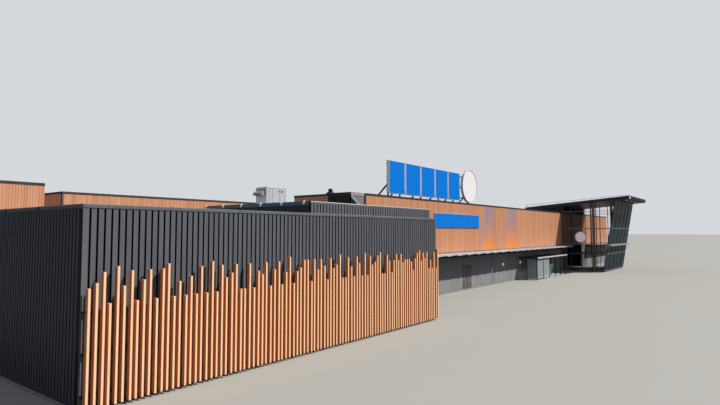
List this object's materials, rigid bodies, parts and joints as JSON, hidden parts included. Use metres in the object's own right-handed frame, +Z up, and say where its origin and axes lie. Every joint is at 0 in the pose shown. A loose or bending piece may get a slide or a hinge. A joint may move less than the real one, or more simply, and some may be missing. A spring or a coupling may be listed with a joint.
{
  "type": "supermarket building, 1:10 scale model",
  "caption": "Long hall with a timber band, ribbed service block behind a batten screen, canopy, roof sign frame and leaning glass entrance under a wing roof.",
  "frame": {"origin": "middle of the bounding box on the ground, under the hall", "axes": "+X along the front to the right seen from outside, +Y into the building, +Z up"},
  "size_m": [9.5, 5.565, 1.142],
  "materials": {
    "concrete_floor": "trowelled",
    "base_panels": "matt",
    "timber_band": "oiled boards",
    "grey_panels": "matt",
    "roof_membrane": "matt",
    "dark_coping": "satin",
    "ribbed_cladding": "satin",
    "grey_cap": "satin",
    "dark_rails": "matt",
    "batten_timber": "stained",
    "navy_panels": "satin",
    "white_brackets": "satin",
    "dark_steel": "satin",
    "casing_grey": "satin",
    "hood_grey": "satin",
    "galvanised_frame": "galvanised",
    "sign_blue": "gloss",
    "sign_white": "gloss",
    "canopy_grey": "matt",
    "door_brown": "satin",
    "shelter_white": "satin",
    "clear_glass": "clear",
    "column_brown": "satin",
    "rail_steel": "brushed"
  },
  "bodies": {
    "building": {"floor_slab": "concrete_floor", "base_wall": "base_panels", "wall_over_door": "base_panels", "front_band": "timber_band", "outer_walls": "base_panels", "outer_band": "timber_band", "corner_infill": "dark_steel", "step_wall": "grey_panels", "step_band": "timber_band", "hall_roof": "roof_membrane", "service_roof": "roof_membrane", "coping": "dark_coping", "service_front_wall": "ribbed_cladding", "service_side_walls": "ribbed_cladding", "service_cap": "grey_cap", "batten_rails": "dark_rails", "battens": "batten_timber", "roof_screen_front": "ribbed_cladding", "roof_screen_sides": "navy_panels", "screen_brackets": "white_brackets", "hatch_tower": "grey_panels", "roof_cowl": "dark_steel", "air_handler": "casing_grey", "intake_hood": "hood_grey", "sign_frame": "galvanised_frame", "sign_boxes": "sign_blue", "sign_panel_white": "sign_white", "wall_sign_board": "sign_blue", "canopy": "canopy_grey", "canopy_brackets": "dark_steel", "service_door_frame": "dark_steel", "shelter_frame": "dark_steel", "shelter_roof": "shelter_white", "shelter_glass": "clear_glass", "side_glazing_frames": "dark_steel", "side_glass": "clear_glass", "front_glazing_frame": "dark_steel", "front_glass": "clear_glass", "sliding_door_head": "dark_steel", "entrance_columns": "column_brown", "wing_roof": "dark_steel", "wing_fascia": "grey_cap", "wing_upstand": "dark_steel", "guard_rail": "rail_steel"},
    "service_leaf_left": {"service_door_left": "door_brown"},
    "service_leaf_right": {"service_door_right": "door_brown"},
    "sliding_leaf_a": {"sliding_leaf_front": "clear_glass"},
    "sliding_leaf_b": {"sliding_leaf_rear": "clear_glass"}
  },
  "joints": [
    {"name": "service_hinge_left", "type": "hinge", "parent": "building", "child": "service_leaf_left", "pos_m": [-1.0315, -1.9204, 0.12], "axis": [0, 0, -1], "range_deg": [0, 90]},
    {"name": "service_hinge_right", "type": "hinge", "parent": "building", "child": "service_leaf_right", "pos_m": [-0.8685, -1.9204, 0.12], "axis": [0, 0, 1], "range_deg": [0, 90]},
    {"name": "entrance_slide_a", "type": "slide", "parent": "building", "child": "sliding_leaf_a", "axis": [0, -1, 0], "range_m": [0, 0.105]},
    {"name": "entrance_slide_b", "type": "slide", "parent": "building", "child": "sliding_leaf_b", "axis": [0, 1, 0], "range_m": [0, 0.105]}
  ],
  "couplings": [
    {"joint": "entrance_slide_b", "follows": "entrance_slide_a", "ratio": 1}
  ]
}
